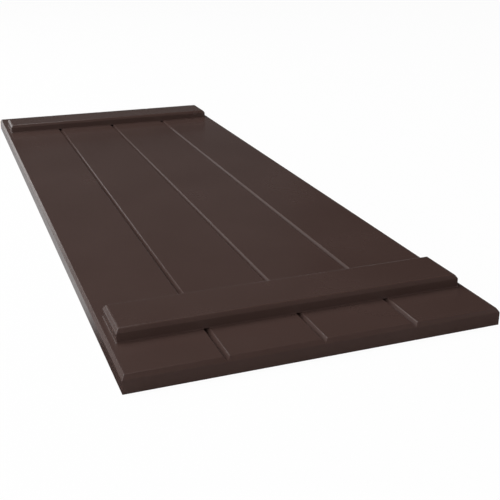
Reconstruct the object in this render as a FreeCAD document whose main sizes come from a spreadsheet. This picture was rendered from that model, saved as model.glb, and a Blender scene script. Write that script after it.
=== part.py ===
import FreeCAD, Part
import os
import Sketcher

# A board and batten shutter lying on its back: four tongued boards side by side under two battens.
# X runs across the boards, Y along them towards the top end, and Z up out of the face, in millimetres.
# The origin is the middle of the back.

# Driving dimensions: name, value and what it measures
DRIVING_SIZES = (
    ("board_width", "136.5", "face of one board, from joint line to joint line"),
    ("board_length", "1498.6", "height of the shutter when it hangs on a wall"),
    ("board_thickness", "25.4", "from the back to the face of a board"),
    ("bevel_width", "4.2", "across the bevel round a face, two of which make a V joint"),
    ("bevel_depth", "6.0", "from a face down to the lower edge of its bevel"),
    ("tongue_thickness", "8.0", "from the lower to the upper flat of a tongue"),
    ("tongue_reach", "7.0", "how far a tongue stands out of its board"),
    ("tongue_tip_chamfer", "1.2", "lead-in bevel along the tip of a tongue"),
    ("tongue_side_clearance", "0.2", "gap over and under a tongue in its slot"),
    ("tongue_tip_clearance", "0.8", "gap between a tongue's tip and the bottom of its slot"),
    ("batten_width", "85.6", "across a batten, along the boards"),
    ("batten_thickness", "19.05", "from the boards' face to the top of a batten"),
    ("batten_inset", "13.4", "from the shutter's side to a batten's end"),
    ("batten_setback", "87.8", "from the boards' end to the nearer edge of a batten"),
)

# Sub-parts from the left side to the right, and from the bottom end to the top
BOARDS = ("left_outer_board", "left_inner_board", "right_inner_board", "right_outer_board")
BATTENS = (("bottom_batten", -1), ("top_batten", 1))

# Heights and widths that several sketches and placements share
HALF_WIDTH = "Sizes.board_width / 2"
SHOULDER_MIDDLE = "(Sizes.board_thickness - Sizes.bevel_depth) / 2"
TONGUE_LOW = f"{SHOULDER_MIDDLE} - Sizes.tongue_thickness / 2"
TONGUE_HIGH = f"{SHOULDER_MIDDLE} + Sizes.tongue_thickness / 2"
TONGUE_TIP = f"{HALF_WIDTH} + Sizes.tongue_reach"
SLOT_BOTTOM = f"Sizes.tongue_reach + Sizes.tongue_tip_clearance - {HALF_WIDTH}"
HALF_BATTEN = f"{len(BOARDS)} * {HALF_WIDTH} - Sizes.batten_inset"

NEAR = 1e-6


def make_sheet(doc):
    """The spreadsheet that holds the driving dimensions."""
    sheet = doc.addObject("Spreadsheet::Sheet", "Sizes")
    for row, (name, value, meaning) in enumerate(DRIVING_SIZES, start=1):
        sheet.set(f"A{row}", name)
        sheet.set(f"B{row}", value)
        sheet.set(f"C{row}", meaning)
        sheet.setAlias(f"B{row}", name)
    doc.recompute()
    return sheet


def rectangle(body, name, plane_role, left, right, low, high):
    """A sketched rectangle on one of the body's origin planes, its four sides bound to expressions."""
    sketch = body.newObject("Sketcher::SketchObject", name)
    plane = next(item for item in body.Origin.OriginFeatures if item.Role == plane_role)
    sketch.AttachmentSupport = [(plane, "")]
    sketch.MapMode = "FlatFace"
    corners = [FreeCAD.Vector(x, y, 0) for x, y in ((-1, -1), (1, -1), (1, 1), (-1, 1))]
    for start, end in zip(corners, corners[1:] + corners[:1]):
        sketch.addGeometry(Part.LineSegment(start, end), False)
    bottom, right_side, top, left_side = range(4)
    for line, following in ((bottom, right_side), (right_side, top), (top, left_side), (left_side, bottom)):
        sketch.addConstraint(Sketcher.Constraint("Coincident", line, 2, following, 1))
    for line in (bottom, top):
        sketch.addConstraint(Sketcher.Constraint("Horizontal", line))
    for line in (right_side, left_side):
        sketch.addConstraint(Sketcher.Constraint("Vertical", line))
    sides = (
        ("left", "DistanceX", bottom, -1, left),
        ("low", "DistanceY", bottom, -1, low),
        ("right", "DistanceX", top, 1, right),
        ("high", "DistanceY", top, 1, high),
    )
    for side, kind, line, rough_place, expression in sides:
        index = sketch.addConstraint(Sketcher.Constraint(kind, -1, 1, line, 1, rough_place))
        sketch.renameConstraint(index, side)
        sketch.setExpression(f"Constraints.{side}", expression)
    return sketch


def bevelled_blank(body, half_across, half_along, thickness):
    """A flat blank centred on the body's origin, with a steep mitred bevel round its upper face."""
    outline = rectangle(body, "Outline", "XY_Plane", f"-({half_across})", half_across, f"-({half_along})", half_along)
    blank = body.newObject("PartDesign::Pad", "Blank")
    blank.Profile = outline
    blank.setExpression("Length", thickness)
    body.Document.recompute()
    top = max(range(len(blank.Shape.Faces)), key=lambda index: blank.Shape.Faces[index].CenterOfMass.z)
    bevel = body.newObject("PartDesign::Chamfer", "FaceBevel")
    bevel.Base = (blank, [f"Face{top + 1}"])
    bevel.ChamferType = "Two distances"
    bevel.setExpression("Size", "Sizes.bevel_depth")
    bevel.setExpression("Size2", "Sizes.bevel_width")
    body.Document.recompute()


def add_tongue(body):
    """A tongue along the board's right edge, with bevelled corners at its tip."""
    section = rectangle(body, "TongueSection", "XZ_Plane", HALF_WIDTH, TONGUE_TIP, TONGUE_LOW, TONGUE_HIGH)
    tongue = body.newObject("PartDesign::Pad", "Tongue")
    tongue.Profile = section
    tongue.SideType = "Symmetric"
    tongue.setExpression("Length", "Sizes.board_length")
    body.Document.recompute()
    tip = tongue.Shape.BoundBox.XMax
    corners = [
        f"Edge{number}"
        for number, edge in enumerate(tongue.Shape.Edges, start=1)
        if abs(edge.BoundBox.XMin - tip) < NEAR and edge.BoundBox.YLength > edge.BoundBox.ZLength
    ]
    lead_in = body.newObject("PartDesign::Chamfer", "TongueLeadIn")
    lead_in.Base = (tongue, corners)
    lead_in.setExpression("Size", "Sizes.tongue_tip_chamfer")
    body.Document.recompute()


def cut_slot(body):
    """A slot along the board's left edge, which takes the next board's tongue with clearance."""
    before = body.Shape.Volume
    low = f"{TONGUE_LOW} - Sizes.tongue_side_clearance"
    high = f"{TONGUE_HIGH} + Sizes.tongue_side_clearance"
    section = rectangle(body, "SlotSection", "XZ_Plane", f"-({HALF_WIDTH})", SLOT_BOTTOM, low, high)
    slot = body.newObject("PartDesign::Pocket", "Slot")
    slot.Profile = section
    slot.Type = "ThroughAll"
    slot.SideType = "Symmetric"
    body.Document.recompute()
    section_area = Part.Face(section.Shape.Wires[0]).Area
    expected = section_area * slot.Shape.BoundBox.YLength
    if abs(before - slot.Shape.Volume - expected) > NEAR * before:
        raise RuntimeError(f"{body.Label}: the slot took {before - slot.Shape.Volume}, not {expected}")


def make_board(doc, position, name):
    """One board, tongued where another lies to its right and slotted where one lies to its left."""
    body = doc.addObject("PartDesign::Body", name)
    body.Label = name
    bevelled_blank(body, HALF_WIDTH, "Sizes.board_length / 2", "Sizes.board_thickness")
    if position < len(BOARDS) - 1:
        add_tongue(body)
    if position > 0:
        cut_slot(body)
    steps_from_middle = position - (len(BOARDS) - 1) / 2
    body.setExpression("Placement.Base.x", f"{steps_from_middle} * Sizes.board_width")
    return body


def make_batten(doc, name, end):
    """One batten on the boards' face, set back from their bottom (-1) or top (1) end."""
    body = doc.addObject("PartDesign::Body", name)
    body.Label = name
    bevelled_blank(body, HALF_BATTEN, "Sizes.batten_width / 2", "Sizes.batten_thickness")
    from_middle = "(Sizes.board_length / 2 - Sizes.batten_setback - Sizes.batten_width / 2)"
    body.setExpression("Placement.Base.y", f"{end} * {from_middle}")
    body.setExpression("Placement.Base.z", "Sizes.board_thickness")
    return body


def check_document(doc, bodies):
    """Stops before anything is written if a feature failed or a solid is not whole."""
    failed = [item.Name for item in doc.Objects if {"Invalid", "Error"} & set(item.State)]
    if failed:
        raise RuntimeError(f"failed features: {failed}")
    for body in bodies:
        if body.Shape.isNull() or not body.Shape.isValid() or len(body.Shape.Solids) != 1:
            raise RuntimeError(f"{body.Label} is not one valid solid")


def main():
    doc = FreeCAD.newDocument("Shutter")
    make_sheet(doc)
    bodies = [make_board(doc, position, name) for position, name in enumerate(BOARDS)]
    bodies += [make_batten(doc, name, end) for name, end in BATTENS]
    doc.recompute()
    check_document(doc, bodies)
    os.makedirs("parts", exist_ok=True)
    for body in bodies:
        body.Shape.exportStep(f"parts/{body.Label}.step")
        box = body.Shape.BoundBox
        print(f"{body.Label}: volume {body.Shape.Volume:.0f}, x {box.XMin:.2f} to {box.XMax:.2f},", end=" ")
        print(f"y {box.YMin:.2f} to {box.YMax:.2f}, z {box.ZMin:.2f} to {box.ZMax:.2f}")


main()
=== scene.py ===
import math
import bmesh
import bpy
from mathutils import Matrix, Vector


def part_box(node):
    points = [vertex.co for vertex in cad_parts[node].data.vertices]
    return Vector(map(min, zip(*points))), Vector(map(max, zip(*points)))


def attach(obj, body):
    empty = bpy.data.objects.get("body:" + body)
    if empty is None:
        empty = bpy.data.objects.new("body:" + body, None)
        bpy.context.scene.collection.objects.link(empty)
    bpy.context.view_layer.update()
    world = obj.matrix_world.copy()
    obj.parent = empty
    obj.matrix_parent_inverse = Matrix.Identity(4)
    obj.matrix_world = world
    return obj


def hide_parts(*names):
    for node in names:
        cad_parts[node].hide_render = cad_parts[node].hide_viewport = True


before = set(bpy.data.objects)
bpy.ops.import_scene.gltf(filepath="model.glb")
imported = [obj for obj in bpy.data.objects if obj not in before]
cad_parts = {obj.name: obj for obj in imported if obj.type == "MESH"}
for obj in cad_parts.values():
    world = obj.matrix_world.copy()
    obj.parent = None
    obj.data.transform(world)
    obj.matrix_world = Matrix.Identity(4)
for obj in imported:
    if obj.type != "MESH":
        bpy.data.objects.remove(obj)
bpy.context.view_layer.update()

# Pieces of the shutter, in the order they lie
BOARDS = ("left_outer_board", "left_inner_board", "right_inner_board", "right_outer_board")
BATTENS = ("bottom_batten", "top_batten")

# Axes of the frame: across the boards, and up out of their face
ACROSS = 0
UP = 2

# How near two places count as one, in metres, and how upright the normal of a level face is at least
NEAR = 1e-5
LEVEL = 0.9

# Sizes of the joinery, in metres, and the steps in each rounding
BEVEL_WIDTH = 0.0042
BEVEL_DEPTH = 0.0060
TONGUE_THICKNESS = 0.008
TONGUE_REACH = 0.007
TONGUE_ROOT = 0.004
TONGUE_LEAD_IN = 0.0012
EASED_EDGE = 0.0008
EASED_STEPS = 4
BATTEN_TOP_EDGE = 0.0020
BATTEN_EDGE_STEPS = 3
BACK_SEAM = 0.0006
BACK_SEAM_STEPS = 2
FOOT_BEAD = 0.0012
FOOT_BEAD_ROUNDING = 0.0007
FOOT_BEAD_STEPS = 4
MOUTH_PLAY = 0.00002

# Screws that hold the battens from behind, in metres: two to a board at each batten
SCREW_PLACES = ((-0.036, -0.021), (0.036, 0.021))
SCREW_SIDES = 24
SCREW_SMOOTH_ANGLE = math.radians(30)
SHANK_RADIUS = 0.0019
SHANK_END = 0.0350
TIP_LENGTH = 0.0032
TIP_SHARE = 0.15
HEAD_RADIUS = 0.0042
HEAD_DEPTH = 0.0024
HEAD_SUNK = 0.0003
RECESS_LENGTH = 0.0046
RECESS_WIDTH = 0.0009
RECESS_DEPTH = 0.0016
HOLE_PLAY = 0.0002
HOLE_END = 0.0385

# Paint: its colours where it lies thin and thick, and its gloss
PAINT_THIN = (0.0637, 0.0379, 0.0324, 1)
PAINT_THICK = (0.0578, 0.0341, 0.0290, 1)
PAINT_ROUGHNESS = (0.22, 0.28)

# Slow drift of the paint's coat over the boards, and the range of it that changes the gloss
DRIFT_SCALE = 6.0
DRIFT_DETAIL = 4
DRIFT_RANGE = (0.3, 0.7)

# Stipple that the spray leaves: its height in metres, its share in the coat, and the coat's range of colour
STIPPLE_SCALE = 420.0
STIPPLE_DETAIL = 2
STIPPLE_HEIGHT = 0.7e-5
STIPPLE_SHARE = 0.3
COAT_RANGE = (0.4, 0.9)

# Camera of the photograph, in a frame of 500 by 500 pixels
FRAME_PIXELS = 500
FOCAL_PIXELS = 853.5
SENSOR_MM = 36.0
CAMERA_PLACE = (-0.4466, -1.6505, 0.5438)
CAMERA_TILT_DOWN = math.radians(21.374)
CAMERA_TURN_RIGHT = math.radians(20.663)

# Floor: its size and how far it lies under the back, in metres, its colour and its white share to the camera
FLOOR_SIZE = 40
FLOOR_DROP = 0.0002
FLOOR_COLOUR = (0.8, 0.8, 0.8, 1)
FLOOR_WHITE_SHARE = 0.96

# Pool of light on the floor that the paint mirrors: where it fades, and its glow in front and behind
POOL_FADE = (-0.63, -0.44)
POOL_GLOW = (0.016, 0.58)

# Room round the floor: its colour, and how bright it is to the camera and, much dimmer, in reflections
ROOM_COLOUR = (1, 1, 1, 1)
ROOM_WHITE = 1.0
ROOM_GLOW = 0.001

# Lamps: name, metres away, degrees round from behind to the right, up, wide and high, and light
LAMPS = (
    ("high_left", 4, -60, 60, 60, 50, 1.10),
    ("left", 6, -90, 50, 80, 50, 0.31),
    ("low_left", 6, -95, 18, 90, 30, 0.27),
    ("low_right", 6, 98, 18, 76, 30, 0.25),
    ("low_front", 6, -142, 20, 60, 40, 0.43),
    ("strip_behind_left", 6, -21, 3, 12, 6, 0.0129),
    ("card_behind_left", 6, -26, 14, 24, 10, 0.0205),
    ("strip_behind", 6, 14, 3.5, 42, 7, 0.0120),
    ("veil_behind", 6, 14, 20, 24, 14, 0.0018),
)


def deselect_all():
    """Leaves nothing selected."""
    bpy.ops.object.select_all(action="DESELECT")


def take_up(piece):
    """Makes a piece the one that the next tools work on."""
    deselect_all()
    piece.select_set(True)
    bpy.context.view_layer.objects.active = piece


def put_place_in_mesh():
    """Moves the place and size of the piece in hand into its mesh, so that its object sits at the origin."""
    bpy.ops.object.transform_apply(location=True, rotation=True, scale=True)


def finish_primitive(name):
    """Names the primitive that was just added, and puts its place in its mesh."""
    put_place_in_mesh()
    piece = bpy.context.object
    piece.name = name
    piece.data.name = name
    return piece


def block(name, low, high):
    """A rectangular blank between two corners."""
    deselect_all()
    bpy.ops.mesh.primitive_cube_add(size=1, location=(low + high) / 2, scale=high - low)
    return finish_primitive(name)


def copy_of(piece, name, shift):
    """A copy of a piece with a mesh of its own, moved by a shift."""
    made = piece.copy()
    made.data = piece.data.copy()
    made.name = name
    made.data.name = name
    bpy.context.scene.collection.objects.link(made)
    take_up(made)
    made.location = shift
    put_place_in_mesh()
    return made


def begin_edit(piece, kind, wanted):
    """Opens a piece for editing, with those faces or edges selected that the wanted function accepts."""
    take_up(piece)
    bpy.ops.object.mode_set(mode="EDIT")
    bpy.ops.mesh.select_mode(type=kind)
    bpy.ops.mesh.select_all(action="DESELECT")
    mesh = bmesh.from_edit_mesh(piece.data)
    parts = mesh.faces if kind == "FACE" else mesh.edges
    for part in parts:
        if wanted(part):
            part.select_set(True)
    bmesh.update_edit_mesh(piece.data)


def end_edit():
    """Closes the piece that is open for editing."""
    bpy.ops.object.mode_set(mode="OBJECT")


def bevel_edges(piece, wanted, width, steps):
    """Bevels the edges of a piece that the wanted function accepts."""
    begin_edit(piece, "EDGE", wanted)
    bpy.ops.mesh.bevel(offset_type="OFFSET", offset=width, segments=steps, affect="EDGES")
    end_edit()


def lies_at(edge, axis, place):
    """Whether both ends of an edge lie at a place on an axis."""
    return all(abs(corner.co[axis] - place) < NEAR for corner in edge.verts)


def faces_up(face):
    """Whether a face is level and looks up."""
    return face.normal.z > LEVEL


def faces_down(face):
    """Whether a face is level and looks down."""
    return face.normal.z < -LEVEL


def combine(piece, other, operation):
    """Joins another solid to a piece, or cuts it out, and leaves the other as it is."""
    take_up(piece)
    step = piece.modifiers.new("Combine", "BOOLEAN")
    step.operation = operation
    step.solver = "EXACT"
    step.object = other
    bpy.ops.object.modifier_apply(modifier=step.name)


def bevelled_blank(name, low, high):
    """A flat blank with a steep mitred bevel that rises from its sides to its upper face."""
    piece = block(name, low, Vector((high.x, high.y, high.z - BEVEL_DEPTH)))
    begin_edit(piece, "FACE", faces_up)
    bpy.ops.mesh.inset(thickness=BEVEL_WIDTH, depth=BEVEL_DEPTH)
    end_edit()
    return piece


def ease_board(piece, back, joints):
    """Rounds a board's arrises a little, but not the back's edges or those that run into another board."""
    def is_eased(edge):
        first, second = edge.verts
        touches = any(abs(corner.co.x - joint) < NEAR for corner in edge.verts for joint in joints)
        lies_in_joint = any(lies_at(edge, ACROSS, joint) for joint in joints)
        slopes = abs(first.co.z - second.co.z) > NEAR
        return not (lies_at(edge, UP, back) or lies_in_joint or (touches and slopes))
    bevel_edges(piece, is_eased, EASED_EDGE, EASED_STEPS)


def ease_batten(piece, low, high):
    """Rounds a batten's arrises, the upper ones more than the rest and its foot not at all."""
    def is_upper(edge):
        return lies_at(edge, UP, high.z)

    def is_lower(edge):
        return not is_upper(edge) and not lies_at(edge, UP, low.z)
    begin_edit(piece, "EDGE", is_upper)
    bpy.ops.transform.edge_bevelweight(value=1)
    end_edit()
    begin_edit(piece, "EDGE", is_lower)
    bpy.ops.transform.edge_bevelweight(value=EASED_EDGE / BATTEN_TOP_EDGE)
    end_edit()
    rounding = piece.modifiers.new("Round", "BEVEL")
    rounding.limit_method = "WEIGHT"
    rounding.width = BATTEN_TOP_EDGE
    rounding.segments = BATTEN_EDGE_STEPS
    bpy.ops.object.modifier_apply(modifier=rounding.name)


def ease_back_seams(piece, back, joints):
    """Rounds the back's edges that meet another board, so that each joint shows there as a fine line."""
    def at_seam(edge):
        return lies_at(edge, UP, back) and any(lies_at(edge, ACROSS, joint) for joint in joints)
    bevel_edges(piece, at_seam, BACK_SEAM, BACK_SEAM_STEPS)


def tongue(joint, low, high):
    """The tongue that crosses a joint to the right, with bevelled corners at its tip."""
    middle = (low.z + high.z - BEVEL_DEPTH) / 2
    root = Vector((joint - TONGUE_ROOT, low.y, middle - TONGUE_THICKNESS / 2))
    tip = Vector((joint + TONGUE_REACH, high.y, middle + TONGUE_THICKNESS / 2))
    piece = block("tongue", root, tip)

    def along_tip(edge):
        return lies_at(edge, ACROSS, tip.x) and edge.calc_length() > TONGUE_THICKNESS * 2
    bevel_edges(piece, along_tip, TONGUE_LEAD_IN, steps=1)
    return piece


def board_box(name):
    """A board's lowest and highest corners, without the tongue that reaches into the next board."""
    low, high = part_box(name)
    if name != BOARDS[-1]:
        next_board = BOARDS[BOARDS.index(name) + 1]
        high.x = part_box(next_board)[0].x
    return low, high


def board(name):
    """One board with its bevelled face, its tongue and its slot."""
    low, high = board_box(name)
    joints = []
    if name != BOARDS[0]:
        joints.append(low.x)
    if name != BOARDS[-1]:
        joints.append(high.x)
    piece = bevelled_blank(name + "_painted", low, high)
    ease_board(piece, low.z, joints)
    ease_back_seams(piece, low.z, joints)
    if high.x in joints:
        own_tongue = tongue(high.x, low, high)
        combine(piece, own_tongue, "UNION")
        bpy.data.objects.remove(own_tongue)
    if low.x in joints:
        tongue_from_left = tongue(low.x, low, high)
        combine(piece, tongue_from_left, "DIFFERENCE")
        bpy.data.objects.remove(tongue_from_left)
    return piece


def add_foot_bead(piece, low, high):
    """Spreads the foot of a batten into the fine hollow bead of filler and paint that runs round it."""
    bead_top = low.z + FOOT_BEAD
    begin_edit(piece, "FACE", lambda face: True)
    bpy.ops.mesh.bisect(plane_co=(0, 0, bead_top), plane_no=(0, 0, 1))
    end_edit()
    middle = (low + high) / 2
    size = high - low
    spread = ((size.x + 2 * FOOT_BEAD) / size.x, (size.y + 2 * FOOT_BEAD) / size.y, 1)
    begin_edit(piece, "FACE", faces_down)
    bpy.ops.transform.resize(value=spread, center_override=(middle.x, middle.y, low.z))
    end_edit()
    bevel_edges(piece, lambda edge: lies_at(edge, UP, bead_top), FOOT_BEAD_ROUNDING, FOOT_BEAD_STEPS)


def open_joint_mouths(piece, low, high):
    """Cuts the bead away where a batten's foot crosses the V joints, so that each V stays open under it."""
    reach = 2 * FOOT_BEAD
    front = (low.y - reach, low.y - MOUTH_PLAY)
    back = (high.y + MOUTH_PLAY, high.y + reach)
    for board_name in BOARDS[1:]:
        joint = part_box(board_name)[0].x
        for near_y, far_y in (front, back):
            mouth_low = Vector((joint - BEVEL_WIDTH, near_y, low.z - reach))
            mouth_high = Vector((joint + BEVEL_WIDTH, far_y, low.z + reach))
            mouth = block("mouth", mouth_low, mouth_high)
            combine(piece, mouth, "DIFFERENCE")
            bpy.data.objects.remove(mouth)


def batten(name):
    """One batten with its bevelled top and the bead round its foot."""
    low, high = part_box(name)
    piece = bevelled_blank(name + "_painted", low, high)
    ease_batten(piece, low, high)
    add_foot_bead(piece, low, high)
    open_joint_mouths(piece, low, high)
    return piece


def turned_pin(name, head_low, radius, head_radius, end):
    """A round pin that points up, with a countersunk head at its lower end and a tapered tip."""
    shank_low = head_low + HEAD_DEPTH
    deselect_all()
    bpy.ops.mesh.primitive_cylinder_add(
        vertices=SCREW_SIDES, radius=radius, depth=end - shank_low, location=(0, 0, (shank_low + end) / 2))
    piece = finish_primitive(name)
    begin_edit(piece, "FACE", faces_down)
    bpy.ops.mesh.extrude_region_move(TRANSFORM_OT_translate={"value": (0, 0, -HEAD_DEPTH)})
    spread = head_radius / radius
    bpy.ops.transform.resize(value=(spread, spread, 1), center_override=(0, 0, head_low))
    end_edit()
    begin_edit(piece, "FACE", faces_up)
    bpy.ops.mesh.extrude_region_move(TRANSFORM_OT_translate={"value": (0, 0, TIP_LENGTH)})
    bpy.ops.transform.resize(value=(TIP_SHARE, TIP_SHARE, 1), center_override=(0, 0, end + TIP_LENGTH))
    end_edit()
    return piece


def screw():
    """One countersunk screw with a cross recess in its head, pointing up through the origin."""
    piece = turned_pin("batten_screw", HEAD_SUNK, SHANK_RADIUS, HEAD_RADIUS, SHANK_END)
    half_length = RECESS_LENGTH / 2
    half_width = RECESS_WIDTH / 2
    recess_low = HEAD_SUNK - RECESS_DEPTH
    recess_high = HEAD_SUNK + RECESS_DEPTH
    for half_x, half_y in ((half_length, half_width), (half_width, half_length)):
        slot = block("recess", Vector((-half_x, -half_y, recess_low)), Vector((half_x, half_y, recess_high)))
        combine(piece, slot, "DIFFERENCE")
        bpy.data.objects.remove(slot)
    take_up(piece)
    bpy.ops.object.shade_smooth_by_angle(angle=SCREW_SMOOTH_ANGLE)
    return piece


def screw_places():
    """The places on the back where the screws go in, board by board under each batten."""
    places = []
    for batten_name in BATTENS:
        batten_low, batten_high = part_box(batten_name)
        middle_y = (batten_low.y + batten_high.y) / 2
        for board_name in BOARDS:
            board_low, board_high = board_box(board_name)
            middle_x = (board_low.x + board_high.x) / 2
            places += [Vector((middle_x + across, middle_y + along, 0)) for across, along in SCREW_PLACES]
    return places


def crosses(piece, place):
    """Whether a piece lies over a place on the back."""
    corners = [corner.co for corner in piece.data.vertices]
    inside_x = min(corner.x for corner in corners) < place.x < max(corner.x for corner in corners)
    inside_y = min(corner.y for corner in corners) < place.y < max(corner.y for corner in corners)
    return inside_x and inside_y


def fit_screws(pieces):
    """Drills the boards and battens and puts a screw in each hole."""
    places = screw_places()
    drill = turned_pin("drill", 0, SHANK_RADIUS + HOLE_PLAY, HEAD_RADIUS + HOLE_PLAY, HOLE_END - TIP_LENGTH)
    for place in places:
        hole = copy_of(drill, "hole", place)
        for piece in pieces.values():
            if crosses(piece, place):
                combine(piece, hole, "DIFFERENCE")
        bpy.data.objects.remove(hole)
    bpy.data.objects.remove(drill)
    first = screw()
    screws = []
    for number, place in enumerate(places, start=1):
        screws.append(copy_of(first, f"batten_screw_{number:02d}", place))
    bpy.data.objects.remove(first)
    return screws


def node(tree, kind, inputs=None, **settings):
    """A new node in a tree, with the values of its inputs and its settings."""
    made = tree.nodes.new(kind)
    for key, value in settings.items():
        setattr(made, key, value)
    for key, value in (inputs or {}).items():
        made.inputs[key].default_value = value
    return made


def map_range(tree, taken, given, **settings):
    """A node that turns the range of values it takes into the range that it gives."""
    ends = {"From Min": taken[0], "From Max": taken[1], "To Min": given[0], "To Max": given[1]}
    return node(tree, "ShaderNodeMapRange", ends, **settings)


def mirrored_rays(tree, path):
    """A node that gives 1 to what is seen in a reflection or through glass, and 0 to the rest."""
    mirrored = node(tree, "ShaderNodeMath", operation="ADD", use_clamp=True)
    tree.links.new(path.outputs["Is Glossy Ray"], mirrored.inputs[0])
    tree.links.new(path.outputs["Is Transmission Ray"], mirrored.inputs[1])
    return mirrored


def satin_paint():
    """Dark brown satin paint: a faint drift of colour and gloss over the fine stipple of the spray."""
    material = bpy.data.materials.new("satin_paint")
    material.use_nodes = True
    tree = material.node_tree
    shader = tree.nodes["Principled BSDF"]
    place = node(tree, "ShaderNodeTexCoord")
    drift = node(tree, "ShaderNodeTexNoise", {"Scale": DRIFT_SCALE, "Detail": DRIFT_DETAIL})
    stipple = node(tree, "ShaderNodeTexNoise", {"Scale": STIPPLE_SCALE, "Detail": STIPPLE_DETAIL})
    coat = node(tree, "ShaderNodeMath", {1: STIPPLE_SHARE}, operation="MULTIPLY_ADD")
    colour = node(tree, "ShaderNodeValToRGB")
    thick_stop, thin_stop = colour.color_ramp.elements
    thick_stop.position, thin_stop.position = COAT_RANGE
    thick_stop.color = PAINT_THICK
    thin_stop.color = PAINT_THIN
    gloss = map_range(tree, DRIFT_RANGE, PAINT_ROUGHNESS)
    bump = node(tree, "ShaderNodeBump", {"Distance": STIPPLE_HEIGHT})
    tree.links.new(place.outputs["Object"], drift.inputs["Vector"])
    tree.links.new(place.outputs["Object"], stipple.inputs["Vector"])
    tree.links.new(stipple.outputs[0], coat.inputs[0])
    tree.links.new(drift.outputs[0], coat.inputs[2])
    tree.links.new(coat.outputs[0], colour.inputs[0])
    tree.links.new(drift.outputs[0], gloss.inputs["Value"])
    tree.links.new(stipple.outputs[0], bump.inputs["Height"])
    tree.links.new(colour.outputs[0], shader.inputs["Base Color"])
    tree.links.new(gloss.outputs[0], shader.inputs["Roughness"])
    tree.links.new(bump.outputs[0], shader.inputs["Normal"])
    return material


def floor():
    """A wide pale floor, white to the camera, and to reflections a pool of light that fades in front."""
    deselect_all()
    bpy.ops.mesh.primitive_plane_add(size=FLOOR_SIZE, location=(0, 0, -FLOOR_DROP))
    made = bpy.context.object
    made.name = "floor"
    material = bpy.data.materials.new("pale_floor")
    material.use_nodes = True
    tree = material.node_tree
    tree.nodes.clear()
    output = node(tree, "ShaderNodeOutputMaterial")
    mix = node(tree, "ShaderNodeMixShader")
    lit = node(tree, "ShaderNodeBsdfDiffuse", {"Color": FLOOR_COLOUR})
    glow = node(tree, "ShaderNodeEmission")
    path = node(tree, "ShaderNodeLightPath")
    place = node(tree, "ShaderNodeTexCoord")
    split = node(tree, "ShaderNodeSeparateXYZ")
    pool = map_range(tree, POOL_FADE, POOL_GLOW, interpolation_type="SMOOTHSTEP")
    mirrored = mirrored_rays(tree, path)
    pooled = node(tree, "ShaderNodeMath", operation="MULTIPLY")
    strength = node(tree, "ShaderNodeMath", operation="ADD")
    share = node(tree, "ShaderNodeMath", {1: FLOOR_WHITE_SHARE}, operation="MULTIPLY_ADD")
    tree.links.new(place.outputs["Object"], split.inputs[0])
    tree.links.new(split.outputs["Y"], pool.inputs["Value"])
    tree.links.new(mirrored.outputs[0], pooled.inputs[0])
    tree.links.new(pool.outputs[0], pooled.inputs[1])
    tree.links.new(path.outputs["Is Camera Ray"], strength.inputs[0])
    tree.links.new(pooled.outputs[0], strength.inputs[1])
    tree.links.new(strength.outputs[0], glow.inputs["Strength"])
    tree.links.new(path.outputs["Is Camera Ray"], share.inputs[0])
    tree.links.new(mirrored.outputs[0], share.inputs[2])
    tree.links.new(share.outputs[0], mix.inputs["Fac"])
    tree.links.new(lit.outputs[0], mix.inputs[1])
    tree.links.new(glow.outputs[0], mix.inputs[2])
    tree.links.new(mix.outputs[0], output.inputs["Surface"])
    made.data.materials.append(material)


def lamp(name, away, round_degrees, up_degrees, wide_degrees, high_degrees, light):
    """A soft rectangular lamp that faces the shutter, placed and sized by angles seen from the shutter."""
    data = bpy.data.lights.new(name, "AREA")
    data.shape = "RECTANGLE"
    data.size = 2 * away * math.tan(math.radians(wide_degrees / 2))
    data.size_y = 2 * away * math.tan(math.radians(high_degrees / 2))
    # A light of 1 makes a white surface that faces the lamp look white
    data.energy = light * math.pi ** 2 * away ** 2
    made = bpy.data.objects.new(name, data)
    bpy.context.scene.collection.objects.link(made)
    turn = math.radians(round_degrees)
    rise = math.radians(up_degrees)
    towards = Vector((math.sin(turn) * math.cos(rise), math.cos(turn) * math.cos(rise), math.sin(rise)))
    made.location = towards * away
    made.rotation_euler = (-towards).to_track_quat("-Z", "Y").to_euler()
    made.visible_camera = False


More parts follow.
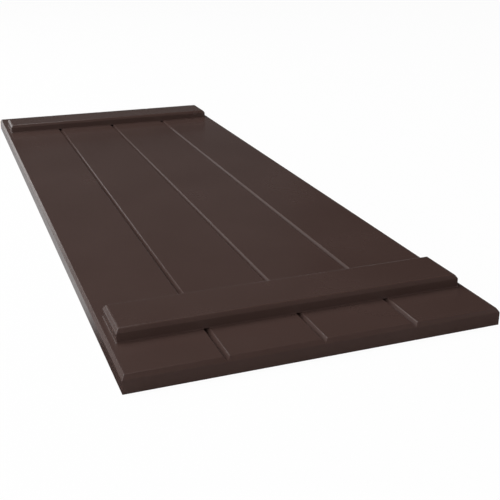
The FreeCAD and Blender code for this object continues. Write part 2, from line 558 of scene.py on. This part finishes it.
def studio():
    """Plain soft light in a room that is white to the camera and dim in reflections."""
    world = bpy.data.worlds.new("room")
    bpy.context.scene.world = world
    world.use_nodes = True
    tree = world.node_tree
    background = tree.nodes["Background"]
    background.inputs["Color"].default_value = ROOM_COLOUR
    path = node(tree, "ShaderNodeLightPath")
    mirrored = mirrored_rays(tree, path)
    dimmed = node(tree, "ShaderNodeMath", {1: ROOM_GLOW}, operation="MULTIPLY")
    seen = node(tree, "ShaderNodeMath", {1: ROOM_WHITE}, operation="MULTIPLY_ADD")
    tree.links.new(mirrored.outputs[0], dimmed.inputs[0])
    tree.links.new(path.outputs["Is Camera Ray"], seen.inputs[0])
    tree.links.new(dimmed.outputs[0], seen.inputs[2])
    tree.links.new(seen.outputs[0], background.inputs["Strength"])
    for settings in LAMPS:
        lamp(*settings)


def camera():
    """The photograph's viewpoint."""
    data = bpy.data.cameras.new("photo_camera")
    data.sensor_fit = "HORIZONTAL"
    data.sensor_width = SENSOR_MM
    data.lens = SENSOR_MM * FOCAL_PIXELS / FRAME_PIXELS
    made = bpy.data.objects.new("photo_camera", data)
    bpy.context.scene.collection.objects.link(made)
    made.location = CAMERA_PLACE
    made.rotation_euler = (math.pi / 2 - CAMERA_TILT_DOWN, 0, -CAMERA_TURN_RIGHT)
    bpy.context.scene.camera = made


# The boards and battens, then the screws, all in one paint
left_outer, left_inner, right_inner, right_outer = BOARDS
bottom, top = BATTENS
pieces = {
    left_outer: board(left_outer),
    left_inner: board(left_inner),
    right_outer: board(right_outer),
    bottom: batten(bottom),
}
board_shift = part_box(right_inner)[0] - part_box(left_inner)[0]
pieces[right_inner] = copy_of(pieces[left_inner], right_inner + "_painted", board_shift)
batten_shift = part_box(top)[0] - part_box(bottom)[0]
pieces[top] = copy_of(pieces[bottom], top + "_painted", batten_shift)
screws = fit_screws(pieces)
paint = satin_paint()
for piece in list(pieces.values()) + screws:
    piece.data.materials.append(paint)
    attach(piece, "root")
for name, piece in pieces.items():
    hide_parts(name)

# The surroundings that the photograph shows, its light and its viewpoint
floor()
studio()
camera()
bpy.context.scene.view_settings.view_transform = "Standard"
